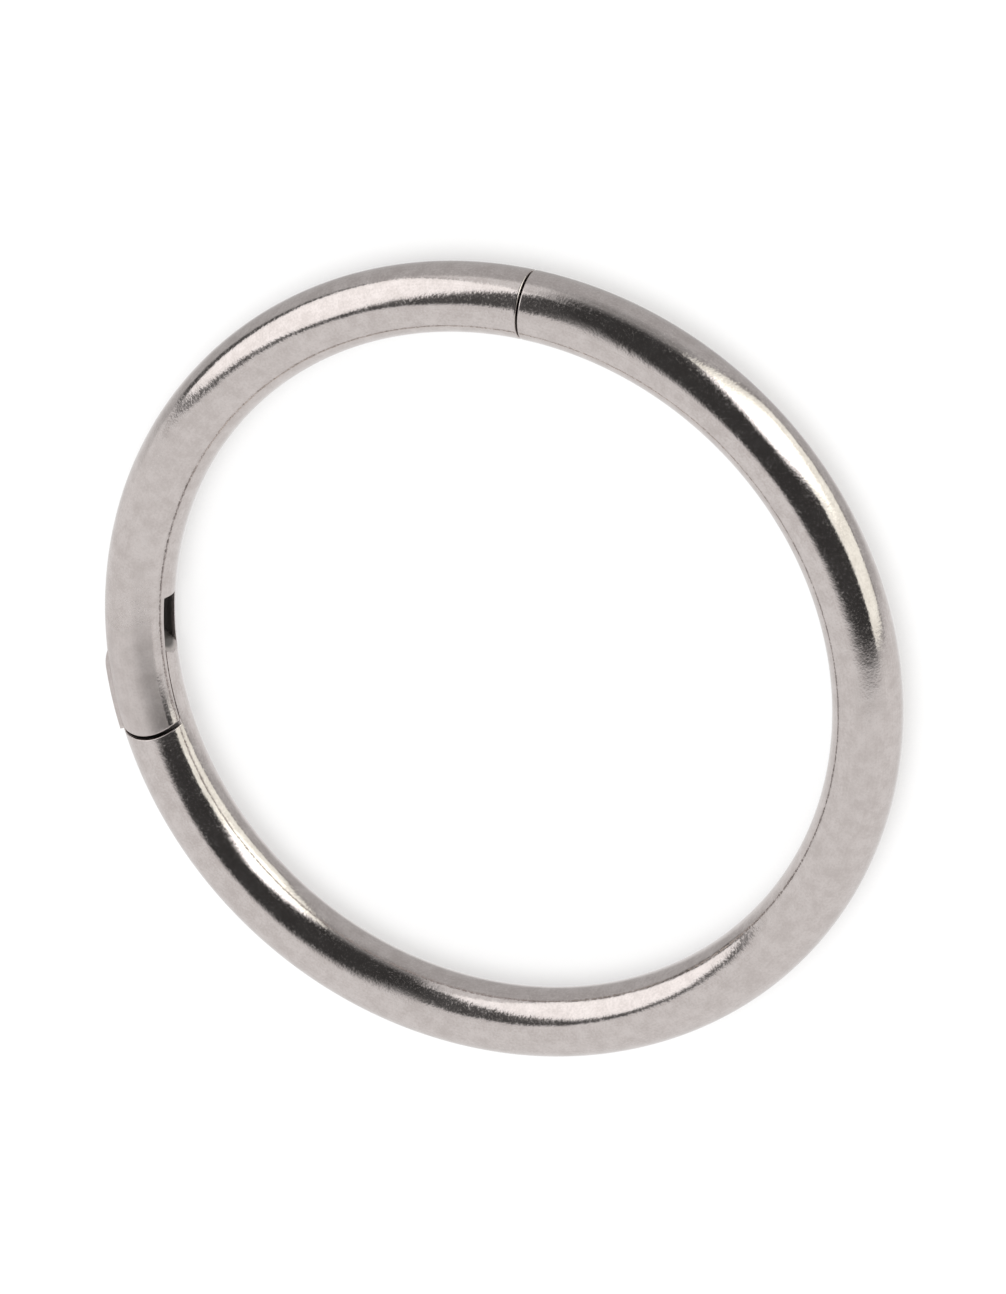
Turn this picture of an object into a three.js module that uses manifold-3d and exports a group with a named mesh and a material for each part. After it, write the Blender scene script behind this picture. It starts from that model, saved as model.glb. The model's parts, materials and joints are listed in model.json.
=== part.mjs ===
// A clicker ring: a hinged hoop of round polished wire for a piercing.
//
// The ring lies flat. Its axis is Z, its lowest line of wire is at z = 0, and +X points
// at the middle of the short hinged segment. The long body and the segment meet at two
// seams. At the first seam a tongue of the body runs into a slot of the segment and a
// pin holds them. At the second seam a shallow dome on the segment clicks into a dimple
// of the body.
import * as THREE from 'three';
import { mergeVertices } from 'three/addons/utils/BufferGeometryUtils.js';
import Module from 'manifold-3d';

// Driving dimensions, in millimetres and in degrees round the ring from +X.
const boreDiameter = 12;
const wireDiameter = 1.2;

const catchAngle = -56.25;
const catchGap = 0.055;
const nibBaseRadius = 0.26;
const nibHeight = 0.1;
const dimpleClearance = 0.05;

const pinAngle = 46.4;
const pinDiameter = 0.4;
const pinChamfer = 0.04;
const pinBlindDepth = 0.2;
const pressClearance = 0.015;
const runningClearance = 0.03;

const knuckleRadius = 1.155;
const knuckleGap = 0.1;
const slotWidth = 0.5;
const slotOuterEnd = 41.8;
const slotBoreEnd = 34.4;
const tongueThickness = 0.44;
const tongueProud = 0.02;
const tongueRoot = 0.25;

// How finely the round forms are divided.
const wireSides = 28;
const ringSteps = 120;
const discSteps = 64;
const pinSides = 24;
const domeSteps = 24;
const weldDistance = 1e-5;

// Sizes that follow from the driving dimensions.
const wireRadius = wireDiameter / 2;
const boreRadius = boreDiameter / 2;
const midRadius = boreRadius + wireRadius;
const outerRadius = boreRadius + wireDiameter;
const catchHalfAngle = THREE.MathUtils.radToDeg(catchGap / midRadius) / 2;
const shoulderRadius = knuckleRadius + knuckleGap;
const tongueTipRadius = wireRadius + tongueProud;
const tongueBackRadius = outerRadius + tongueProud;
const pinRadius = pinDiameter / 2;
const pinLow = -Math.sqrt(wireRadius ** 2 - pinRadius ** 2);
const pinHigh = slotWidth / 2 + pinBlindDepth;
const cutHeight = 4 * wireDiameter;
const cutReach = 2 * outerRadius;

const wasm = await Module();
wasm.setup();

const polishedMetal = new THREE.MeshStandardMaterial({ color: 0xcbc3c0, roughness: 0.16, metalness: 1 });
const pinMetal = new THREE.MeshStandardMaterial({ color: 0xc5bfbb, roughness: 0.3, metalness: 1 });

// A closed surface as a solid that can be joined and cut.
function solid(geometry) {
  geometry.deleteAttribute('normal');
  geometry.deleteAttribute('uv');
  const welded = mergeVertices(geometry, weldDistance);
  return new wasm.Manifold(new wasm.Mesh({
    numProp: 3,
    vertProperties: new Float32Array(welded.attributes.position.array),
    triVerts: new Uint32Array(welded.index.array),
  }));
}

// A finished solid as a named mesh.
function piece(name, body, material) {
  const { vertProperties, triVerts } = body.getMesh();
  const geometry = new THREE.BufferGeometry();
  geometry.setAttribute('position', new THREE.BufferAttribute(vertProperties, 3));
  geometry.setIndex(new THREE.BufferAttribute(triVerts, 1));
  geometry.computeVertexNormals();
  const mesh = new THREE.Mesh(geometry, material);
  mesh.name = name;
  return mesh;
}

// A point of the ring's plane, from its distance to the axis and its angle.
function polar(radius, degrees) {
  const angle = THREE.MathUtils.degToRad(degrees);
  return new THREE.Vector2(radius * Math.cos(angle), radius * Math.sin(angle));
}

// A closed profile of (radius, height) points turned round the ring's axis.
function turned(profile, steps) {
  const geometry = new THREE.LatheGeometry([...profile, profile[0]], steps);
  return solid(geometry.rotateX(Math.PI / 2));
}

// A flat outline raised to a height that is centred on the wire's middle plane.
function prism(shape, height) {
  const settings = { depth: height, bevelEnabled: false, curveSegments: discSteps };
  const geometry = new THREE.ExtrudeGeometry(shape, settings);
  return solid(geometry.translate(0, 0, -height / 2));
}

// A disc about the pin, drawn with the pin's place turned to +X.
function disc(radius) {
  return new THREE.Shape().absarc(midRadius, 0, radius, 0, 2 * Math.PI, false);
}

// A form drawn about +X, turned round the ring to where the pin is.
function atPin(form) {
  return form.rotate([0, 0, pinAngle]);
}

// The slice of the ring's plane between two angles that lie less than 180 degrees apart.
function sector(fromAngle, toAngle) {
  const middle = (fromAngle + toAngle) / 2;
  const corners = [fromAngle, middle, toAngle].map((angle) => polar(cutReach, angle));
  return prism(new THREE.Shape([new THREE.Vector2(), ...corners]), cutHeight);
}

// The whole round of wire. Its section has flat facets at the top, bottom, bore and
// outside, so the ring has its true outer sizes and a face to lie on.
function wireHoop() {
  const cornerRadius = wireRadius / Math.cos(Math.PI / wireSides);
  const profile = [];
  for (let side = 0; side < wireSides; side += 1) {
    const corner = polar(cornerRadius, (side + 0.5) * 360 / wireSides);
    profile.push(corner.add(new THREE.Vector2(midRadius, 0)));
  }
  return turned(profile, ringSteps);
}

// The space of the segment, out to its catch end and to its round knuckle.
function segmentSpace(catchEnd, knuckle) {
  return sector(catchEnd, pinAngle).add(atPin(prism(disc(knuckle), cutHeight)));
}

// The slot in the segment's hinge end. Its closed end leans, further along on the bore.
function slot() {
  const outerEnd = polar(outerRadius, slotOuterEnd - pinAngle);
  const boreEnd = polar(boreRadius, slotBoreEnd - pinAngle);
  const lean = outerEnd.clone().sub(boreEnd);
  const outside = outerEnd.clone().add(lean);
  const inside = boreEnd.clone().sub(lean);
  const mouth = 2 * shoulderRadius;
  const corners = [
    inside,
    outside,
    new THREE.Vector2(outside.x, mouth),
    new THREE.Vector2(inside.x, mouth),
  ];
  return atPin(prism(new THREE.Shape(corners), slotWidth));
}

// The tongue of the body: a slice from the middle of the wire with a straight back that
// stands a little proud of the hoop, and a tip rounded about the pin.
function tongue(hoop) {
  const rootEnd = shoulderRadius + tongueRoot;
  const shank = new THREE.Shape([
    new THREE.Vector2(midRadius - wireDiameter, 0),
    new THREE.Vector2(midRadius + wireDiameter, 0),
    new THREE.Vector2(midRadius + wireDiameter, rootEnd),
    new THREE.Vector2(midRadius - wireDiameter, rootEnd),
  ]);
  const plan = prism(shank, tongueThickness).add(prism(disc(tongueTipRadius), tongueThickness));
  const half = tongueThickness / 2;
  const back = turned([
    new THREE.Vector2(midRadius, -half),
    new THREE.Vector2(tongueBackRadius, -half),
    new THREE.Vector2(tongueBackRadius, half),
    new THREE.Vector2(midRadius, half),
  ], ringSteps);
  const hingeRound = atPin(prism(disc(shoulderRadius), cutHeight));
  const slice = hoop.intersect(atPin(plan));
  return slice.add(back.intersect(atPin(plan)).intersect(hingeRound));
}

// A round hole about the pin, from below the ring up to a height.
function pinHole(radius, top) {
  const geometry = new THREE.CylinderGeometry(radius, radius, cutHeight, pinSides);
  geometry.rotateX(Math.PI / 2).translate(midRadius, 0, top - cutHeight / 2);
  return atPin(solid(geometry));
}

// The pin, driven in from below and blind in the upper cheek of the segment.
function hingePin() {
  const profile = [
    new THREE.Vector2(0, pinLow),
    new THREE.Vector2(pinRadius - pinChamfer, pinLow),
    new THREE.Vector2(pinRadius, pinLow + pinChamfer),
    new THREE.Vector2(pinRadius, pinHigh - pinChamfer),
    new THREE.Vector2(pinRadius - pinChamfer, pinHigh),
    new THREE.Vector2(0, pinHigh),
  ];
  const geometry = new THREE.LatheGeometry(profile, pinSides);
  geometry.rotateX(Math.PI / 2).translate(midRadius, 0, 0);
  return atPin(solid(geometry));
}

// A ball whose cap stands out of the segment's catch end as the nib, or a larger ball
// about the same centre that cuts its dimple.
function catchBall(clearance) {
  const capRadius = (nibBaseRadius ** 2 + nibHeight ** 2) / (2 * nibHeight);
  const depth = capRadius - nibHeight;
  const geometry = new THREE.SphereGeometry(capRadius + clearance, domeSteps, domeSteps / 2);
  geometry.translate(midRadius, depth, 0);
  return solid(geometry).rotate([0, 0, catchAngle + catchHalfAngle]);
}

const hoop = wireHoop();

const ringBody = hoop
  .subtract(segmentSpace(catchAngle - catchHalfAngle, shoulderRadius))
  .add(tongue(hoop))
  .subtract(pinHole(pinRadius + runningClearance, cutHeight / 2))
  .subtract(catchBall(dimpleClearance));

const segment = hoop
  .intersect(segmentSpace(catchAngle + catchHalfAngle, knuckleRadius))
  .subtract(slot())
  .subtract(pinHole(pinRadius + pressClearance, pinHigh + pressClearance))
  .add(catchBall(0));

const clickerRing = new THREE.Group();
clickerRing.add(
  piece('ring_body', ringBody, polishedMetal),
  piece('clicker_segment', segment, polishedMetal),
  piece('hinge_pin', hingePin(), pinMetal),
);
clickerRing.position.z = wireRadius;

export default clickerRing;
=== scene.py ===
# %% [markdown]
# # A clicker ring in Blender
#
# A clicker ring is a small hoop for a piercing. It is made of round polished wire in two
# lengths: a long C-shaped body, and a short segment that swings out on a hidden pin and
# clicks shut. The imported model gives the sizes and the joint. This lesson dresses it: it
# models the wire as a true round, rounds the rims at the seams, and gives it its polish.

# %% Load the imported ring
import json
import math

import bmesh
import bpy
from mathutils import Matrix, Vector


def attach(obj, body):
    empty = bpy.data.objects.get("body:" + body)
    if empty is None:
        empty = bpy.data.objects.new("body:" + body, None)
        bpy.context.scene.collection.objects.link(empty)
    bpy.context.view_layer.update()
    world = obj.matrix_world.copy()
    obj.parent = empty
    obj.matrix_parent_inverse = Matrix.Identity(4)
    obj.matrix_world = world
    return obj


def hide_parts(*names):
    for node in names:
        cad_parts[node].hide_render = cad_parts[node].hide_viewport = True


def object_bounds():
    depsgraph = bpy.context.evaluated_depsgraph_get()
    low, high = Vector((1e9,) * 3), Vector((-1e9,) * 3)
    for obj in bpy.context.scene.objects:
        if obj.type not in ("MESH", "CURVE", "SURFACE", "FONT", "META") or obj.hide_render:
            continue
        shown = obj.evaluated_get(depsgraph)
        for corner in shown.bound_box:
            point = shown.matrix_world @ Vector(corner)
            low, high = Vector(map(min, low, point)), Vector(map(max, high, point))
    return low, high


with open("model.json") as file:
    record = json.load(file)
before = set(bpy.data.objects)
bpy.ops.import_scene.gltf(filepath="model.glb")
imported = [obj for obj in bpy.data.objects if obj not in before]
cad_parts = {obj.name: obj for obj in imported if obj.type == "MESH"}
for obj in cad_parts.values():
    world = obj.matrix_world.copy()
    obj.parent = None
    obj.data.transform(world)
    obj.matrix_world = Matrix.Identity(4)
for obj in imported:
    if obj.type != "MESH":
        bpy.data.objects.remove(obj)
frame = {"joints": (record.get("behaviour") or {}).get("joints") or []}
cad_low, cad_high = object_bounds()
print("packed box in mm:", [round(1000 * side, 3) for side in cad_high - cad_low])

# %% [markdown]
# ## Sizes
#
# Everything is in metres, so a millimetre gets a name. The hoop's main sizes are read
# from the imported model: its box gives the outside radius and the wire, and its joint
# gives the pin. The small sizes of the hinge and the seams are written down here. The
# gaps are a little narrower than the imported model's, because a rounded rim makes a seam
# look wider. Angles are in degrees round the ring.

# %% Sizes of the hoop and its seams
MM = 0.001
outer_radius = cad_high.x
wire_radius = (cad_high.z - cad_low.z) / 2
mid_radius = outer_radius - wire_radius
mid_height = cad_low.z + wire_radius

hinge = frame["joints"][0]
pin_place = Vector(hinge["pos_m"])
pin_angle = math.degrees(math.atan2(pin_place.y, pin_place.x))

catch_angle = -56.25
catch_gap = 0.03 * MM
knuckle_radius = 1.155 * MM
shoulder_radius = 1.22 * MM
slot_half = 0.25 * MM
slot_outer_end = 41.8
slot_bore_end = 34.4
tongue_half = 0.24 * MM
tongue_proud = 0.02 * MM
pin_radius = 0.2 * MM
pin_blind_top = 0.45 * MM
press_clearance = 0.015 * MM
running_clearance = 0.03 * MM
nib_base_radius = 0.26 * MM
nib_height = 0.1 * MM
dimple_clearance = 0.05 * MM
rim_round = 0.028 * MM
cut_ease = 0.03 * MM

catch_half_angle = math.degrees(catch_gap / mid_radius) / 2
bore = 2 * (mid_radius - wire_radius)
print(f"wire {2 * wire_radius / MM:.2f} mm, bore {bore / MM:.2f} mm, pin at {pin_angle:.2f} degrees")

# %% [markdown]
# ## Where a point lies on the hoop
#
# A point of the hoop has a plain address: the angle round the ring, the distance from
# the ring's axis, and the height over the middle plane. The hinge end is round about the
# pin, so one more helper answers: at this distance from the ring's axis, how far round
# from the pin is the point that lies so far from the pin? It is the law of cosines.
# Computed sizes are never quite equal, so three names say how near counts as the same:
# WELD for places, WELD_DEGREES for angles, and A_HAIR_OVER for a size and its limit.

# %% Addresses on the hoop
RING_AXIS = Vector((0, 0, 1))
WELD = 0.0005 * MM
WELD_DEGREES = 0.01
A_HAIR_OVER = 1.001


def ring_angle(point):
    return math.degrees(math.atan2(point.y, point.x))


def axis_distance(point):
    return math.hypot(point.x, point.y)


def height(point):
    return point.z - mid_height


def swing(radius, distance):
    """Degrees round the ring from the pin to a point at that distance from the pin."""
    cosine = (mid_radius**2 + radius**2 - distance**2) / (2 * mid_radius * radius)
    return math.degrees(math.acos(cosine))


def turn_to(point, degrees):
    """The point moved round the ring to an angle."""
    radius = axis_distance(point)
    angle = math.radians(degrees)
    return Vector((radius * math.cos(angle), radius * math.sin(angle), point.z))


# %% [markdown]
# ## Round wire
#
# Round wire bent to a hoop is a circle spun about the ring's axis. The circle is drawn
# by spinning one point through four arcs: over the top, down the bore, under the bottom
# and up the outside. The corners between the arcs lie at one height, so the wire has
# straight lines of edges there, and the slot and the tongue can be cut along them.

# %% Draw the section and sweep it
OVER_STEPS = 40
SIDE_STEPS = 14


def last_verts(spun):
    """The points that a spin ended on."""
    return [item for item in spun["geom_last"] if isinstance(item, bmesh.types.BMVert)]


def draw_section(mesh, corner_height, at_angle):
    """Draw the wire's circle at an angle of the ring, with corners at plus and minus a height."""
    lean = math.asin(corner_height / wire_radius)
    middle = Vector((mid_radius, 0, mid_height))
    start = middle + wire_radius * Vector((math.cos(lean), 0, math.sin(lean)))
    end = [mesh.verts.new(start)]
    over, side = math.pi - 2 * lean, 2 * lean
    for arc, steps in ((over, OVER_STEPS), (side, SIDE_STEPS)) * 2:
        spun = bmesh.ops.spin(
            mesh, geom=end, cent=middle, axis=(0, -1, 0), angle=arc, steps=steps
        )
        end = last_verts(spun)
    bmesh.ops.remove_doubles(mesh, verts=mesh.verts[:], dist=WELD)
    turn = Matrix.Rotation(math.radians(at_angle), 3, "Z")
    bmesh.ops.rotate(mesh, cent=(0, 0, 0), matrix=turn, verts=mesh.verts[:])


def sweep_section(mesh, stops):
    """Sweep the drawn section round the ring, from stop to stop: (angle, steps)."""
    loop = mesh.verts[:] + mesh.edges[:]
    angle = stops[0]
    for stop, steps in stops[1:]:
        arc = math.radians(stop - angle)
        spun = bmesh.ops.spin(
            mesh, geom=loop, cent=(0, 0, 0), axis=RING_AXIS, angle=arc, steps=steps
        )
        loop = spun["geom_last"]
        angle = stop


# %% [markdown]
# ## Ends of the wire
#
# Each end of the wire is a flat face whose rim a jeweller breaks with a stone, so that no
# edge is sharp. The ends are closed with one face each, and a bevel of three segments
# rounds the rims. The rim is a plain closed loop at this point, which is the easy time to
# bevel it. An end is known by its many corners: every other face has four.

# %% Close the ends and round their rims


def once_each(items):
    """The items in the order they come, each only once."""
    return list(dict.fromkeys(items))


def close_ends(mesh):
    """Close both ends, round their rims, and return the two flat faces."""
    open_edges = [edge for edge in mesh.edges if edge.is_boundary]
    bmesh.ops.holes_fill(mesh, edges=open_edges, sides=0)
    bmesh.ops.recalc_face_normals(mesh, faces=mesh.faces[:])
    ends = [face for face in mesh.faces if len(face.verts) > 4]
    rims = once_each(edge for face in ends for edge in face.edges)
    bmesh.ops.bevel(
        mesh, geom=rims, offset=rim_round, offset_type="OFFSET", affect="EDGES",
        segments=3, profile=0.5, material=-1, clamp_overlap=True,
    )
    return [face for face in mesh.faces if len(face.verts) > 4]


def end_nearest(faces, degrees):
    """The end face that lies nearest to an angle of the ring."""
    aim = turn_to(Vector((mid_radius, 0, mid_height)), degrees)
    return min(faces, key=lambda face: (face.calc_center_median() - aim).length)


# %% [markdown]
# ## The hinge end's round
#
# The segment's hinge end is round about the pin, and the body's end is hollow to match,
# so the gap stays even while the segment swings. Every point near the end slides round
# the ring until the end lies on that round. It slides along the wire, so the wire keeps
# its true section.

# %% Slide an end onto the round of the hinge


def slide_end(mesh, from_angle, to_angle, distance):
    """Stretch the wire past from_angle, so that to_angle comes to lie so far from the pin."""
    for vert in mesh.verts:
        share = (ring_angle(vert.co) % 360 - from_angle) / (to_angle - from_angle)
        if 0 < share < A_HAIR_OVER:
            rounded = pin_angle + swing(axis_distance(vert.co), distance)
            vert.co = turn_to(vert.co, from_angle + share * (rounded - from_angle))


# %% [markdown]
# ## The catch
#
# The free end of the segment has a shallow dome, and the body has a dimple for it. Both
# are the flat end face, inset ring by ring, each ring a step further along a ball. A
# sphere could be joined on instead, but insets keep the end one closed skin. A flat of
# half a step is left at the pole, so that no face shrinks to a point.

# %% Raise or sink a ball-shaped cap on an end face
CAP_RINGS = 7
POLE_FLAT = 0.5


def ball_cap(mesh, end_face, base_radius, ball_radius, sign):
    """Inset the end face to a circle, then raise it (+1) or sink it (-1) along a ball."""
    margin = wire_radius - rim_round - base_radius
    bmesh.ops.inset_region(mesh, faces=[end_face], thickness=margin, use_even_offset=True)
    slope = math.asin(base_radius / ball_radius)
    step = slope / (CAP_RINGS + POLE_FLAT)
    for ring in range(CAP_RINGS):
        outer = slope - ring * step
        inner = outer - step
        thickness = ball_radius * (math.sin(outer) - math.sin(inner))
        rise = ball_radius * (math.cos(inner) - math.cos(outer))
        bmesh.ops.inset_region(
            mesh, faces=[end_face], thickness=thickness, depth=sign * rise, use_even_offset=True
        )


nib_ball = (nib_base_radius**2 + nib_height**2) / (2 * nib_height)
dimple_ball = nib_ball + dimple_clearance
dimple_sink = dimple_ball - (nib_ball - nib_height) - catch_gap
dimple_base = math.sqrt(dimple_ball**2 - (dimple_ball - dimple_sink) ** 2)
print(f"dome: ball of {nib_ball / MM:.3f} mm radius, {nib_height / MM:.3f} mm high")
print(f"dimple: {2 * dimple_base / MM:.3f} mm wide, {dimple_sink / MM:.3f} mm deep")

# %% [markdown]
# ## The segment
#
# The segment's hinge end is slotted. The wire has lines of edges at the slot's height,
# so the strips of faces between them are taken away on the bore and on the outside, and
# the cut is walled: one bridge for its closed end, a strip down from each cheek's end,
# and one flat face for each side. A Boolean could cut the slot in one go, but it leaves
# ragged faces along the cut, and its rims couldn't be eased. Here a small bevel eases
# them, as a file does. The end slides onto its round last, and the dome is raised.

# %% Model the clicker segment
knuckle_angle = pin_angle + swing(mid_radius, knuckle_radius)
segment_start = catch_angle + catch_half_angle
slot_and_rim = 1.02 * slot_half


def on_side_strip(point, corner_height):
    """True where the section lies between the corner lines, on the bore or the outside."""
    across, rise = axis_distance(point) - mid_radius, height(point)
    limit = corner_height / wire_radius * math.hypot(across, rise)
    return abs(rise) < limit - WELD


def in_slot(face):
    """True for a face of the wire that the slot takes away."""
    middle = face.calc_center_median()
    outside = axis_distance(middle) > mid_radius
    closed_at = slot_outer_end if outside else slot_bore_end
    if len(face.verts) != 4 or ring_angle(middle) <= closed_at:
        return False
    return on_side_strip(middle, slot_half)


def before_slot(edge):
    return ring_angle(edge.verts[0].co) < slot_outer_end + WELD_DEGREES


def wall_from_rim(mesh, edges, to_height):
    """Draw a strip straight up or down from a rim to a height."""
    made = bmesh.ops.extrude_edge_only(mesh, edges=edges)
    for item in made["geom"]:
        if isinstance(item, bmesh.types.BMVert):
            item.co.z = mid_height + to_height


def ease_rims(mesh, edges):
    """Round the rims of a cut a little, as a file does."""
    bmesh.ops.recalc_face_normals(mesh, faces=mesh.faces[:])
    bmesh.ops.bevel(
        mesh, geom=edges, offset=cut_ease, offset_type="OFFSET", affect="EDGES",
        segments=4, profile=0.5, material=-1, clamp_overlap=True,
    )


def on_closed_end(edge):
    """True for the long edge between the slot's closed end and one of its sides."""
    one, two = (axis_distance(vert.co) - mid_radius for vert in edge.verts)
    return one * two < 0 and before_slot(edge)


def over_cheek(edge, side):
    """True for an edge that reaches past the slot's side: 1 for the upper cheek, -1 for the lower."""
    return max(side * height(vert.co) for vert in edge.verts) > A_HAIR_OVER * slot_half


def build_segment():
    mesh = bmesh.new()
    draw_section(mesh, slot_half, segment_start)
    sweep_section(mesh, [
        segment_start,
        (slot_bore_end, 76),
        (slot_outer_end, 8),
        (knuckle_angle, 14),
    ])
    ends = close_ends(mesh)
    hinge_end = end_nearest(ends, knuckle_angle)
    catch_end = end_nearest(ends, segment_start)
    cut = [face for face in mesh.faces if in_slot(face)]
    bmesh.ops.delete(mesh, geom=cut + [hinge_end], context="FACES")
    open_edges = [edge for edge in mesh.edges if edge.is_boundary]
    closed_end = [
        edge for edge in open_edges
        if all(on_side_strip(vert.co, slot_and_rim) for vert in edge.verts)
        and abs(edge.verts[0].co.z - edge.verts[1].co.z) > WELD
        and before_slot(edge)
    ]
    bmesh.ops.bridge_loops(mesh, edges=closed_end)
    open_edges = [edge for edge in mesh.edges if edge.is_boundary]
    for vert in once_each(vert for edge in open_edges for vert in edge.verts):
        rise = height(vert.co)
        if ring_angle(vert.co) > slot_bore_end and abs(rise) < A_HAIR_OVER * slot_half:
            vert.co.z = mid_height + math.copysign(slot_half, rise)
    for side in (1, -1):
        rim = [edge for edge in mesh.edges if edge.is_boundary and over_cheek(edge, side)]
        wall_from_rim(mesh, rim, side * slot_half)
    bmesh.ops.remove_doubles(mesh, verts=mesh.verts[:], dist=WELD)
    sides = [edge for edge in mesh.edges if edge.is_boundary]
    walls = bmesh.ops.holes_fill(mesh, edges=sides, sides=0)["faces"]
    ease_rims(mesh, [edge for wall in walls for edge in wall.edges if not on_closed_end(edge)])
    slide_end(mesh, slot_outer_end, knuckle_angle, knuckle_radius)
    ball_cap(mesh, catch_end, nib_base_radius, nib_ball, 1)
    bmesh.ops.recalc_face_normals(mesh, faces=mesh.faces[:])
    return mesh


def measure(name, mesh):
    open_edges = sum(not edge.is_manifold for edge in mesh.edges)
    volume = mesh.calc_volume() / MM**3
    print(f"{name}: {len(mesh.faces)} faces, {open_edges} open edges, {volume:.3f} cubic mm")


segment_mesh = build_segment()
measure("segment", segment_mesh)

# %% [markdown]
# ## The body
#
# The body's hinge end carries the tongue. The bore runs on along the tongue with no
# seam, so that strip of the rim stays square and is swept further. The tongue's back is
# a strip that stands a hair proud of the hoop, and its tip is a round about the pin that
# comes down to the bore. The rest is walled as the slot was.

# %% Grow the tongue
shoulder_angle = pin_angle + swing(mid_radius, shoulder_radius)
body_start = 360 + catch_angle - catch_half_angle
straight_from = shoulder_angle + 4
tongue_back = outer_radius + tongue_proud
tip_radius = wire_radius + tongue_proud
pin_foot = Vector((pin_place.x, pin_place.y, 0))
BORE_STEPS, BACK_STEPS, TIP_STEPS = 16, 14, 28


def square_strip(mesh):
    """Take the rim's round off again where the tongue runs out of the body."""
    limit = shoulder_angle + math.degrees(2 * rim_round / mid_radius)
    steepest = tongue_half / wire_radius + 0.001
    for vert in mesh.verts:
        angle = ring_angle(vert.co)
        across, rise = axis_distance(vert.co) - mid_radius, height(vert.co)
        spread = math.hypot(across, rise)
        if angle % 360 < limit and abs(rise) / spread < steepest:
            grow = wire_radius / spread
            vert.co = turn_to(Vector((mid_radius + across * grow, 0, mid_height + rise * grow)), angle)


def sweep_bore(mesh, bore):
    """Run the bore's strip on, from the shoulder's round to the round of the tip."""
    bore_angle = ring_angle(bore[0].verts[0].co)
    tip_angle = pin_angle - swing(mid_radius - wire_radius, tip_radius)
    arc = tip_angle - bore_angle
    before = set(mesh.verts)
    strip = bore + once_each(vert for edge in bore for vert in edge.verts)
    bmesh.ops.spin(
        mesh, geom=strip, cent=(0, 0, 0), axis=RING_AXIS, angle=math.radians(arc), steps=BORE_STEPS
    )
    for vert in set(mesh.verts) - before:
        radius = axis_distance(vert.co)
        start = pin_angle + swing(radius, shoulder_radius)
        stop = pin_angle - swing(radius, tip_radius)
        share = (ring_angle(vert.co) - start) / arc
        vert.co = turn_to(vert.co, start + share * (stop - start))


def sweep_back(mesh, back):
    """Raise the tongue's back a hair and run it on until it is over the pin."""
    made = bmesh.ops.extrude_edge_only(mesh, edges=back)["geom"]
    raised = [item for item in made if isinstance(item, bmesh.types.BMVert)]
    for vert in raised:
        vert.co.xy *= tongue_back / axis_distance(vert.co)
    edges = [item for item in made if isinstance(item, bmesh.types.BMEdge)]
    ridge = [edge for edge in edges if set(edge.verts) <= set(raised)]
    arc = math.radians(pin_angle - ring_angle(raised[0].co))
    spun = bmesh.ops.spin(
        mesh, geom=raised + ridge, cent=(0, 0, 0), axis=RING_AXIS, angle=arc, steps=BACK_STEPS
    )
    for vert in last_verts(spun):
        vert.co = turn_to(vert.co, pin_angle)
    return spun["geom_last"]


def round_tip(mesh, over_pin):
    """Spin the back's end about the pin, and scale the turn so that it ends on the bore."""
    before = set(mesh.verts)
    bmesh.ops.spin(
        mesh, geom=over_pin, cent=pin_place, axis=-RING_AXIS, angle=math.pi, steps=TIP_STEPS
    )
    outward = pin_foot.normalized()
    for vert in set(mesh.verts) - before:
        turned = (Vector((vert.co.x, vert.co.y, 0)) - pin_foot).angle(outward)
        bore_radius = mid_radius - math.sqrt(wire_radius**2 - height(vert.co) ** 2)
        corner = turn_to(Vector((bore_radius, 0, 0)), pin_angle - swing(bore_radius, tip_radius))
        whole = (corner - pin_foot).angle(outward)
        arm = Matrix.Rotation(-turned / math.pi * whole, 3, "Z") @ (outward * tip_radius)
        vert.co = pin_foot + arm + Vector((0, 0, vert.co.z))


def grow_tongue(mesh):
    rim = [edge for edge in mesh.edges if edge.is_boundary]
    strip = [
        edge for edge in rim if all(abs(height(vert.co)) < tongue_half + WELD for vert in edge.verts)
    ]
    bore = [edge for edge in strip if axis_distance(edge.verts[0].co) < mid_radius]
    back = [edge for edge in strip if axis_distance(edge.verts[0].co) > mid_radius]
    sweep_bore(mesh, bore)
    round_tip(mesh, sweep_back(mesh, back))


print(f"tongue {2 * tongue_half / MM:.2f} mm thick, tip {tip_radius / MM:.2f} mm about the pin")

# %% [markdown]
# ## The whole body
#
# The body is swept from the catch to the shoulder in one go. Its two ends are closed and
# rounded, the hinge end slides onto the hollow round, and then its face is opened again
# for the tongue to grow out of. The walls beside the tongue drop from the rim of that
# opening to the tongue's own height.

# %% Model the ring body


def beside_tongue(edge, side):
    """True for an edge that reaches past the tongue's side: 1 for above, -1 for below."""
    return max(side * height(vert.co) for vert in edge.verts) > tongue_half + WELD


def build_body():
    mesh = bmesh.new()
    draw_section(mesh, tongue_half, body_start)
    sweep_section(mesh, [
        body_start,
        (straight_from, 200),
        (shoulder_angle, 5),
    ])
    ends = close_ends(mesh)
    hinge_end = end_nearest(ends, shoulder_angle)
    catch_end = end_nearest(ends, body_start)
    square_strip(mesh)
    slide_end(mesh, straight_from, shoulder_angle, shoulder_radius)
    bmesh.ops.delete(mesh, geom=[hinge_end], context="FACES_ONLY")
    grow_tongue(mesh)
    for side in (1, -1):
        rim = [edge for edge in mesh.edges if edge.is_boundary and beside_tongue(edge, side)]
        wall_from_rim(mesh, rim, side * tongue_half)
    bmesh.ops.remove_doubles(mesh, verts=mesh.verts[:], dist=WELD)
    sides = [edge for edge in mesh.edges if edge.is_boundary]
    bmesh.ops.holes_fill(mesh, edges=sides, sides=0)
    ball_cap(mesh, catch_end, dimple_base, dimple_ball, -1)
    bmesh.ops.recalc_face_normals(mesh, faces=mesh.faces[:])
    return mesh


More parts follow.
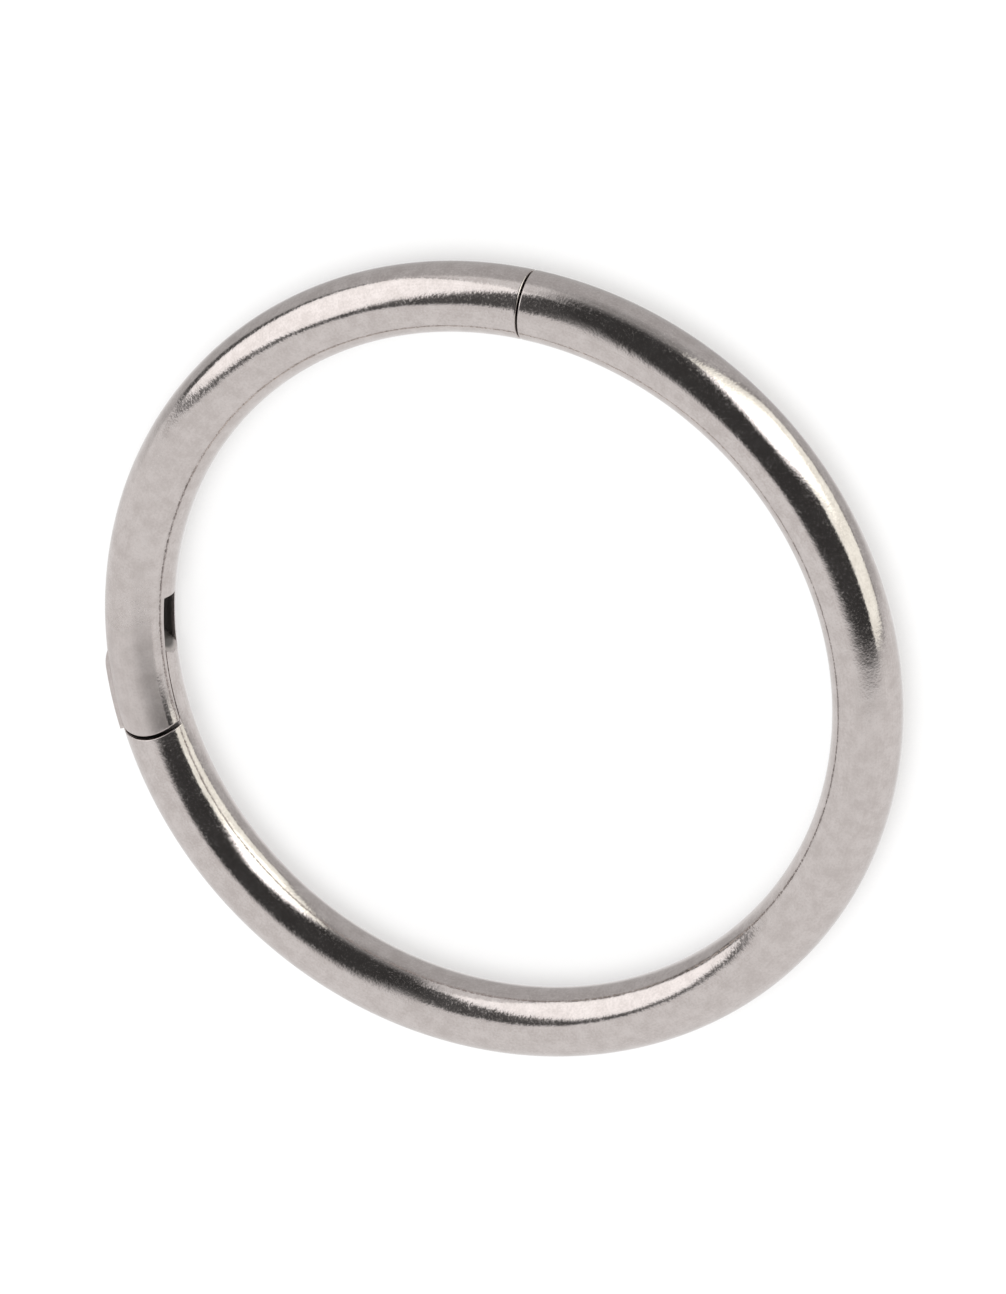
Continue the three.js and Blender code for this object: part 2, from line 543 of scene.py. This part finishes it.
body_mesh = build_body()
measure("body", body_mesh)

# %% [markdown]
# ## The pin
#
# The pin is a length of drawn wire pushed in from below. Its upper end stops inside the
# upper cheek, and its lower end is level with the round of the wire, so only a small
# disc shows underneath. A cone with equal ends is a cylinder, and a bevel eases its rims.

# %% Model the hinge pin
pin_bottom = -math.sqrt(wire_radius**2 - pin_radius**2)
pin_ease = 0.04 * MM
PIN_SIDES = 64


def rod_on_pin(mesh, radius, bottom, top):
    """A plain rod along the pin's axis, between two heights over the wire's middle."""
    middle = pin_foot + Vector((0, 0, mid_height + (top + bottom) / 2))
    bmesh.ops.create_cone(
        mesh, cap_ends=True, segments=PIN_SIDES, radius1=radius, radius2=radius, depth=top - bottom,
        matrix=Matrix.Translation(middle),
    )


def build_pin():
    mesh = bmesh.new()
    rod_on_pin(mesh, pin_radius, pin_bottom, pin_blind_top)
    ends = [face for face in mesh.faces if len(face.verts) > 4]
    rims = once_each(edge for face in ends for edge in face.edges)
    bmesh.ops.bevel(
        mesh, geom=rims, offset=pin_ease, offset_type="OFFSET", affect="EDGES",
        segments=4, profile=0.5, material=-1,
    )
    bmesh.ops.recalc_face_normals(mesh, faces=mesh.faces[:])
    return mesh


pin_mesh = build_pin()
measure("pin", pin_mesh)

# %% [markdown]
# ## From mesh to piece
#
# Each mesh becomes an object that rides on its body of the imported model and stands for
# the plain solid there. The holes for the pin are drilled the way a bench drill would:
# a Boolean takes a rod away, and the result is kept as the piece's own mesh.

# %% Make the pieces and drill the pin's holes


def make_object(mesh, name):
    """Turn a finished bmesh into an object of the scene."""
    data = bpy.data.meshes.new(name)
    mesh.to_mesh(data)
    mesh.free()
    made = bpy.data.objects.new(name, data)
    bpy.context.scene.collection.objects.link(made)
    return made


def make_piece(mesh, name, body, node):
    piece = make_object(mesh, name)
    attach(piece, body)
    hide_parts(node)
    return piece


def drill(piece, radius, top):
    """Drill up along the pin's axis, from under the wire to a height over its middle."""
    bit_mesh = bmesh.new()
    rod_on_pin(bit_mesh, radius, -2 * wire_radius, top)
    bit = make_object(bit_mesh, "drill_bit")
    cut = piece.modifiers.new("drilled", "BOOLEAN")
    cut.operation = "DIFFERENCE"
    cut.solver = "EXACT"
    cut.object = bit
    drilled = piece.evaluated_get(bpy.context.evaluated_depsgraph_get())
    blank, bit_data = piece.data, bit.data
    piece.data = bpy.data.meshes.new_from_object(drilled)
    piece.modifiers.clear()
    bpy.data.objects.remove(bit)
    bpy.data.meshes.remove(bit_data)
    bpy.data.meshes.remove(blank)


body_piece = make_piece(body_mesh, "ring_body_wire", "hoop", "ring_body")
segment_piece = make_piece(
    segment_mesh, "clicker_segment_wire", "segment", "clicker_segment"
)
pin_piece = make_piece(pin_mesh, "hinge_pin_wire", "segment", "hinge_pin")
drill(segment_piece, pin_radius + press_clearance, pin_blind_top + press_clearance)
drill(body_piece, pin_radius + running_clearance, 2 * wire_radius)
for piece in (body_piece, segment_piece, pin_piece):
    print(piece.name, len(piece.data.polygons), "faces")

# %% [markdown]
# ## A true round for the reflections
#
# A mirror finish shows every facet. The wire's faces are small, but their smoothed
# normals still wobble a little at the rims and round the drilled hole. The wire is a
# known shape, a ring of round wire, so its exact normal is known at every corner of a
# face: it points away from the wire's middle line. The other faces keep normals of their
# own, with a crease wherever two of them meet at more than 35 degrees.

# %% Give the wire its exact normals
CREASE = math.radians(35)


def from_middle_line(point):
    """The way from the wire's middle line to a point, whose length is the wire's radius."""
    radius = axis_distance(point)
    middle = Vector((point.x * mid_radius / radius, point.y * mid_radius / radius, mid_height))
    return point - middle


def true_normals(piece):
    """Set the exact normals, and return the share of face corners that got one."""
    mesh = piece.data
    mesh.shade_smooth()
    mesh.set_sharp_from_angle(angle=CREASE)
    exact = 0
    normals = []
    for face in mesh.polygons:
        for index in face.vertices:
            away = from_middle_line(mesh.vertices[index].co)
            on_wire = abs(away.length - wire_radius) < WELD
            if on_wire and away.normalized().dot(face.normal) > math.cos(CREASE):
                normals.append(away.normalized())
                exact += 1
            elif len(face.vertices) > 4:
                normals.append(face.normal)
            else:
                normals.append(Vector((0, 0, 0)))
    mesh.normals_split_custom_set(normals)
    return exact / len(normals)


for piece in (body_piece, segment_piece):
    print(f"{piece.name}: {100 * true_normals(piece):.1f} % of face corners lie on the true round")
pin_piece.data.shade_smooth()
pin_piece.data.set_sharp_from_angle(angle=CREASE)

# %% [markdown]
# ## Shader maths
#
# A node tree is easier to read as sums. This small class wraps one socket: adding or
# multiplying two of them adds the Math node that does it, and `node` adds any other node
# with its settings and the values or links of its sockets.

# %% A socket that can be used in sums


class Signal:
    """A socket of a node tree, or the bare tree where there is no socket yet."""

    def __init__(self, tree, socket=None):
        self.tree = tree
        self.socket = socket

    def node(self, kind, settings=None, inputs=None, output=0):
        """Add a node with its settings, then the values or links of its sockets."""
        made = self.tree.nodes.new(kind)
        for name, value in (settings or {}).items():
            setattr(made, name, value)
        for name, value in (inputs or {}).items():
            if isinstance(value, Signal):
                self.tree.links.new(value.socket, made.inputs[name])
            else:
                made.inputs[name].default_value = value
        return Signal(self.tree, made.outputs[output] if made.outputs else None)

    def math(self, operation, *values):
        return self.node("ShaderNodeMath", {"operation": operation}, dict(enumerate(values)))

    def __add__(self, other):
        return self.math("ADD", self, other)

    __radd__ = __add__

    def __sub__(self, other):
        return self.math("SUBTRACT", self, other)

    def __rsub__(self, other):
        return self.math("SUBTRACT", other, self)

    def __mul__(self, other):
        return self.math("MULTIPLY", self, other)

    __rmul__ = __mul__

    def root(self):
        return self.math("SQRT", self)

    def step(self, low, high):
        """0 below low, 1 above high, and a smooth rise between."""
        return self.node(
            "ShaderNodeMapRange", {"interpolation_type": "SMOOTHSTEP"},
            {"Value": self, "From Min": low, "From Max": high},
        )

    def blend(self, low, high):
        """A colour that goes from low to high as the value goes from 0 to 1."""
        return self.node(
            "ShaderNodeMix", {"data_type": "RGBA"}, {"Factor": self, "A": low, "B": high}, output=2,
        )


def new_tree(owner):
    """An empty node tree on a material or a world."""
    owner.use_nodes = True
    owner.node_tree.nodes.clear()
    return Signal(owner.node_tree)


# %% [markdown]
# ## Polished metal
#
# The wire is bare grey metal with a warm cast, polished by tumbling. It mirrors the
# studio, but not as glass does. Tumbling leaves fine pebbles and a few small pits,
# drawing the wire leaves faint streaks along it, and bending it leaves slow waves. Each
# of these is a noise of its own size. They shift the tone and the roughness a little, and
# a bump of up to a hundredth of a millimetre breaks up and bends the bright shapes.
#
# A noise could be stretched along a straight wire with a Mapping node. This wire is bent,
# so the streaks use the point's distance from the ring's axis and its height, which only
# change across the wire, and let its place along the wire count for little.

# %% Marks left by making the wire
STREAK_WIDTH = MM / 34
STREAK_LENGTH = MM / 1.1


def patches(tree, place, size, detail, roughness=0.5):
    """Noise with patches of about the given size."""
    return tree.node("ShaderNodeTexNoise", inputs={
        "Vector": place, "Scale": 1 / size, "Detail": detail, "Roughness": roughness,
    })


def drawn_streaks(tree, x, y, z, from_axis):
    """Fine lines along the wire: quick to change across it, slow to change along it."""
    across, along = 1 / STREAK_WIDTH, 1 / STREAK_LENGTH
    where = tree.node("ShaderNodeCombineXYZ", inputs={
        "X": from_axis * across, "Y": z * across, "Z": x * along,
    })
    return tree.node("ShaderNodeTexNoise", {"noise_dimensions": "4D"}, {
        "Vector": where, "W": y * along, "Scale": 1.0, "Detail": 2.0, "Roughness": 0.5,
    })


# %% [markdown]
# ## The satin hinge end
#
# The segment's hinge end was rubbed down after assembly and stayed satin, up to the seam.
# It fades out along the segment. The shader knows it by its place beside the pin, so no
# paint mask is needed: forward runs along the wire towards the seam, and reach is the
# distance from the pin. The bore was out of the way of the rubbing.

# %% Where the hinge end is satin
FADE_IN = (-2.4 * MM, 0.2 * MM)
FADE_OUT = (2.5 * MM, 3.0 * MM)
OUT_OF_BORE = (-0.42 * MM, -0.38 * MM)
SEAM_SOFT = 0.02 * MM
PAST_PIN = (-0.1 * MM, 0.1 * MM)


def rubbed_end(x, y, across):
    """1 over the segment's hinge end, 0 past the seam, in the bore and far from the pin."""
    along = Vector((-pin_place.y, pin_place.x)).normalized()
    from_pin_x, from_pin_y = x - pin_place.x, y - pin_place.y
    forward = from_pin_x * along.x + from_pin_y * along.y
    reach = (from_pin_x * from_pin_x + from_pin_y * from_pin_y).root()
    seam = (knuckle_radius + shoulder_radius) / 2
    past_seam = reach.step(seam - SEAM_SOFT, seam + SEAM_SOFT) * forward.step(*PAST_PIN)
    nearby = 1 - reach.step(*FADE_OUT)
    return forward.step(*FADE_IN) * (1 - past_seam) * nearby * across.step(*OUT_OF_BORE)


# %% [markdown]
# ## The finished metals
#
# Faces cut inside the wire, at the seams and in the slot, never meet the polish, so they
# are dull. Their colour is painted dark as well: painted shade, which makes the seams and
# the slot look deep. The shader finds them by their depth under the wire's round: the rim
# is where a face begins to leave the round, and cut is well below it. The pin is plain
# drawn wire with an end filed flush.

# %% The metals
DULL_TONE, BRIGHT_TONE = (0.55, 0.498, 0.478, 1), (0.665, 0.611, 0.592, 1)
# Painted shade: the cut faces' dark tone stands in for the shade deep in the seams and the slot.
CUT_AND_SHADE_TONE = (0.2, 0.186, 0.178, 1)
PIN_DULL, PIN_BRIGHT = (0.50, 0.47, 0.455, 1), (0.58, 0.55, 0.53, 1)
POLISH = 0.08
RIM_DEPTH = (0.004 * MM, 0.03 * MM)
CUT_AND_SHADE_DEPTH = (0.03 * MM, 0.08 * MM)


def polished_metal():
    material = bpy.data.materials.new("polished_metal")
    tree = new_tree(material)
    place = tree.node("ShaderNodeTexCoord", output=3)
    apart = tree.node("ShaderNodeSeparateXYZ", inputs={"Vector": place})
    x, y, z = (Signal(tree.tree, socket) for socket in apart.socket.node.outputs)
    from_axis = (x * x + y * y).root()
    across, rise = from_axis - mid_radius, z - mid_height
    depth = wire_radius - (across * across + rise * rise).root()
    rim = depth.step(*RIM_DEPTH)
    # The cut faces deep in the seams and the slot, which get the painted shade.
    cut = depth.step(*CUT_AND_SHADE_DEPTH)

    pebbles = patches(tree, place, 0.04 * MM, 2.0)
    pits = pebbles.step(0.5, 0.75)
    drift = patches(tree, place, 0.25 * MM, 3.0, 0.55)
    waves = patches(tree, place, 1 * MM, 0.0)
    streaks = drawn_streaks(tree, x, y, z, from_axis)
    satin = rubbed_end(x, y, across)

    tone = (drift * 0.5 + pebbles * 0.35 + streaks * 0.15).step(0.34, 0.66)
    # Painted shade: faces deep in the seams and the slot are darkened, so they look deep.
    colour = cut.blend(tone.blend(DULL_TONE, BRIGHT_TONE), CUT_AND_SHADE_TONE)
    roughness = POLISH + drift * 0.06 + pits * 0.15 + satin * 0.26 + rim * 0.3
    height_in_mm = pebbles * 0.0014 + drift * 0.0026 + waves * 0.011
    bump = tree.node("ShaderNodeBump", inputs={
        "Strength": 1.0, "Distance": MM, "Height": height_in_mm,
    })
    shader = tree.node("ShaderNodeBsdfPrincipled", inputs={
        "Base Color": colour, "Metallic": 1.0, "Roughness": roughness, "Normal": bump,
    })
    tree.node("ShaderNodeOutputMaterial", inputs={"Surface": shader})
    return material


def pin_metal():
    material = bpy.data.materials.new("pin_metal")
    tree = new_tree(material)
    place = tree.node("ShaderNodeTexCoord", output=3)
    grain = patches(tree, place, MM / 22, 2.0, 0.6)
    colour = grain.step(0.3, 0.7).blend(PIN_DULL, PIN_BRIGHT)
    bump = tree.node("ShaderNodeBump", inputs={
        "Strength": 1.0, "Distance": 0.001 * MM, "Height": grain,
    })
    shader = tree.node("ShaderNodeBsdfPrincipled", inputs={
        "Base Color": colour, "Metallic": 1.0, "Roughness": 0.28 + grain * 0.1, "Normal": bump,
    })
    tree.node("ShaderNodeOutputMaterial", inputs={"Surface": shader})
    return material


wire_finish = polished_metal()
for piece, finish in ((body_piece, wire_finish), (segment_piece, wire_finish), (pin_piece, pin_metal())):
    piece.data.materials.clear()
    piece.data.materials.append(finish)
    print(piece.name, "is finished in", finish.name)

# %% [markdown]
# ## The floor
#
# The ring lies on a plain white sheet, a grid of one face that is far wider than the
# view. It belongs to the stage, not to the ring. The sheet glows a little, which keeps it
# pale under a soft light. The ring doesn't mirror it: what the ring shows from below is
# painted with the rest of the studio in the next step.

# %% Lay the floor
SHEET_HALF = 0.6
SHEET_GREY = (0.5, 0.5, 0.5, 1)
SHEET_GLOW = 0.5
WHITE = (1, 1, 1, 1)
under_ring = cad_low.z - 0.002 * MM


def stage_object(mesh, name, material):
    """Make an object from a mesh and give it one material."""
    made = make_object(mesh, name)
    made.data.materials.append(material)
    return made


def white_sheet():
    material = bpy.data.materials.new("white_sheet")
    tree = new_tree(material)
    shader = tree.node("ShaderNodeBsdfPrincipled", inputs={
        "Base Color": SHEET_GREY, "Roughness": 0.8,
        "Emission Color": WHITE, "Emission Strength": SHEET_GLOW,
    })
    tree.node("ShaderNodeOutputMaterial", inputs={"Surface": shader})
    return material


def lay_floor():
    mesh = bmesh.new()
    level = Matrix.Translation((0, 0, under_ring))
    bmesh.ops.create_grid(mesh, x_segments=1, y_segments=1, size=SHEET_HALF, matrix=level)
    floor = stage_object(mesh, "floor", white_sheet())
    floor.visible_glossy = False
    return floor


floor = lay_floor()
print("floor in m:", [round(side, 3) for side in floor.dimensions])

# %% [markdown]
# ## The light tent
#
# Polished metal shows the studio more than itself. Small jewellery is photographed in a
# light tent, so the ring gets one: white cloth all round, a dark opening over the
# camera's side, a cream panel low on the near side with a bright lamp behind it, and a
# framed panel to the right. The tent is a ball that shines inward. Only mirrors see it:
# the camera looks through it, and it throws no light or shade on the floor. The same
# picture could be painted on the world, but the world is endlessly far away. In a tent
# this near, the bright shapes shift along the wire as they do on the real ring.
#
# Every edge of a panel is a straight line. Seen from the ring, the directions on one side
# of a straight line are those with a positive dot product with one vector, so a panel is
# a product of soft steps. A panel's corners are azimuths from +X and elevations over the
# floor, in degrees. Each panel is laid over the ones before it.

# %% Paint the tent's cloth
WALL, SHADED_TABLE, OPENING = 0.9, 0.57, 0.055
FRAME, RIGHT_PANEL = 0.1, 1.46
LOW_EDGE, LOW_PANEL, LAMP = 0.36, 1.38, 2.6
CREAM = (0.98, 1.0, 0.92, 1)
TABLE_SIDE, BELOW, ABOVE = (0.595, -0.804, 0), (0, 0, -1), (0, 0, 1)
OPENING_RIGHT, OPENING_LEFT = (0.69, -1, 0.31), (-1.16, -1, 0.24)
FRAME_CORNERS = [(-20, 2), (28, -9), (50, 65), (1.5, 74.5), (-55, 39)]
RIGHT_CORNERS = [(-17, 1.5), (27.5, 6), (32, 60.7), (-21, 46.7), (-42.5, 27)]
EDGE_CORNERS = [(-145, -18), (-111.5, -39), (-90, -43.7), (-76.6, 12.2), (-147, 17.7)]
LOW_CORNERS = [(-141.7, -16.5), (-111.5, -34.2), (-94.6, -39.5), (-76.7, 11.7), (-146.6, 17.9)]
LAMP_CORNERS = [(-117.6, -3), (-95.2, -20), (-81.7, 17.7), (-102, 39)]


def way(azimuth, elevation):
    """The direction at an azimuth and an elevation."""
    turn, lift = math.radians(azimuth), math.radians(elevation)
    level = math.cos(lift)
    return Vector((level * math.cos(turn), level * math.sin(turn), math.sin(lift)))


def tent_cloth():
    material = bpy.data.materials.new("tent_cloth")
    tree = new_tree(material)
    place = tree.node("ShaderNodeTexCoord", output=3)
    direction = tree.node("ShaderNodeVectorMath", {"operation": "NORMALIZE"}, {0: place})

    def side_of(edge, soft):
        """1 on the side that a vector points to, 0 on the other."""
        along = tree.node("ShaderNodeVectorMath", {"operation": "DOT_PRODUCT"}, {
            0: direction, 1: Vector(edge).normalized(),
        }, output=1)
        return along.step(-soft, soft)

    def panel(corners, soft):
        """1 inside the straight lines from corner to corner."""
        mask = side_of(way(*corners[-1]).cross(way(*corners[0])), soft)
        for one, two in zip(corners, corners[1:]):
            mask = mask * side_of(way(*one).cross(way(*two)), soft)
        return mask

    shaded_table = side_of(TABLE_SIDE, 0.15) * side_of(BELOW, 0.08)
    opening = side_of(OPENING_RIGHT, 0.1) * side_of(OPENING_LEFT, 0.1) * side_of(ABOVE, 0.4)
    low_panel = panel(LOW_CORNERS, 0.03)

    light = WALL - (WALL - SHADED_TABLE) * shaded_table
    for mask, brightness in (
        (panel(FRAME_CORNERS, 0.03), FRAME),
        (panel(RIGHT_CORNERS, 0.02), RIGHT_PANEL),
        (opening, OPENING),
        (panel(EDGE_CORNERS, 0.02), LOW_EDGE),
        (low_panel, LOW_PANEL),
        (panel(LAMP_CORNERS, 0.08), LAMP),
    ):
        light = light * (1 - mask) + mask * brightness
    tint = low_panel.blend(WHITE, CREAM)
    lit = tree.node("ShaderNodeVectorMath", {"operation": "SCALE"}, {0: tint, "Scale": light})
    glow = tree.node("ShaderNodeEmission", inputs={"Color": lit, "Strength": 1.0})
    tree.node("ShaderNodeOutputMaterial", inputs={"Surface": glow})
    material.cycles.emission_sampling = "NONE"
    return material


# %% Hang the tent
TENT_RADIUS = 60 * MM


def hang_tent():
    mesh = bmesh.new()
    bmesh.ops.create_icosphere(mesh, subdivisions=5, radius=TENT_RADIUS)
    tent = stage_object(mesh, "light_tent", tent_cloth())
    tent.location.z = mid_height
    tent.visible_camera = False
    tent.visible_diffuse = False
    tent.visible_transmission = False
    tent.visible_volume_scatter = False
    tent.visible_shadow = False
    return tent


tent = hang_tent()
print("tent in m:", [round(side, 3) for side in tent.dimensions])

# %% [markdown]
# ## Light for the floor
#
# The tent lights the ring alone. The floor gets an even white sky and one wide soft light
# from straight overhead, so the ring's shadow is faint and close to it.

# %% Light the floor
SKY = 0.83
OVERHEAD = 1.1
OVERHEAD_SPREAD = math.radians(40)


def plain_sky():
    world = bpy.data.worlds.new("sky")
    bpy.context.scene.world = world
    tree = new_tree(world)
    background = tree.node("ShaderNodeBackground", inputs={"Color": WHITE, "Strength": SKY})
    tree.node("ShaderNodeOutputWorld", inputs={"Surface": background})


def overhead_light():
    data = bpy.data.lights.new("overhead", "SUN")
    data.energy = OVERHEAD
    data.angle = OVERHEAD_SPREAD
    lamp = bpy.data.objects.new("overhead", data)
    lamp.location.z = 0.5
    lamp.visible_glossy = False
    bpy.context.scene.collection.objects.link(lamp)


plain_sky()
overhead_light()
print("floor light: sky", SKY, "and overhead", OVERHEAD)

# %% [markdown]
# ## The camera
#
# The photograph looks down on the ring at an angle, through a long lens, with the camera
# turned about its own axis. The angles were measured from the ring's inner and outer
# outlines. The small shift centres the ring as the photograph does.

# %% Set the camera
LOOK_AZIMUTH = -2.15
LOOK_ELEVATION = 59.63
LOOK_ROLL = 224.387
LOOK_DISTANCE = 0.264
LENS = 432.85
SENSOR = 36
SHIFT = (0.00161, 0.01147)


def set_camera():
    data = bpy.data.cameras.new("camera")
    data.lens = LENS
    data.sensor_width = SENSOR
    data.sensor_fit = "AUTO"
    data.shift_x, data.shift_y = SHIFT
    data.clip_start = 0.01
    data.clip_end = 10
    camera = bpy.data.objects.new("camera", data)
    bpy.context.scene.collection.objects.link(camera)
    turn = Matrix.Rotation(math.radians(LOOK_AZIMUTH), 3, "Z")
    lift = math.radians(LOOK_ELEVATION)
    right = turn @ Vector((1, 0, 0))
    up = turn @ Vector((0, math.sin(lift), math.cos(lift)))
    back = turn @ Vector((0, -math.cos(lift), math.sin(lift)))
    roll = math.radians(LOOK_ROLL)
    cosine, sine = math.cos(roll), math.sin(roll)
    axes = Matrix((cosine * right + sine * up, cosine * up - sine * right, back)).transposed()
    place = Vector((0, 0, mid_height)) + LOOK_DISTANCE * back
    camera.matrix_world = Matrix.Translation(place) @ axes.to_4x4()
    bpy.context.scene.camera = camera
    bpy.context.scene.view_settings.view_transform = "Standard"
    return camera


camera = set_camera()
print("camera at", [round(value, 4) for value in camera.location])
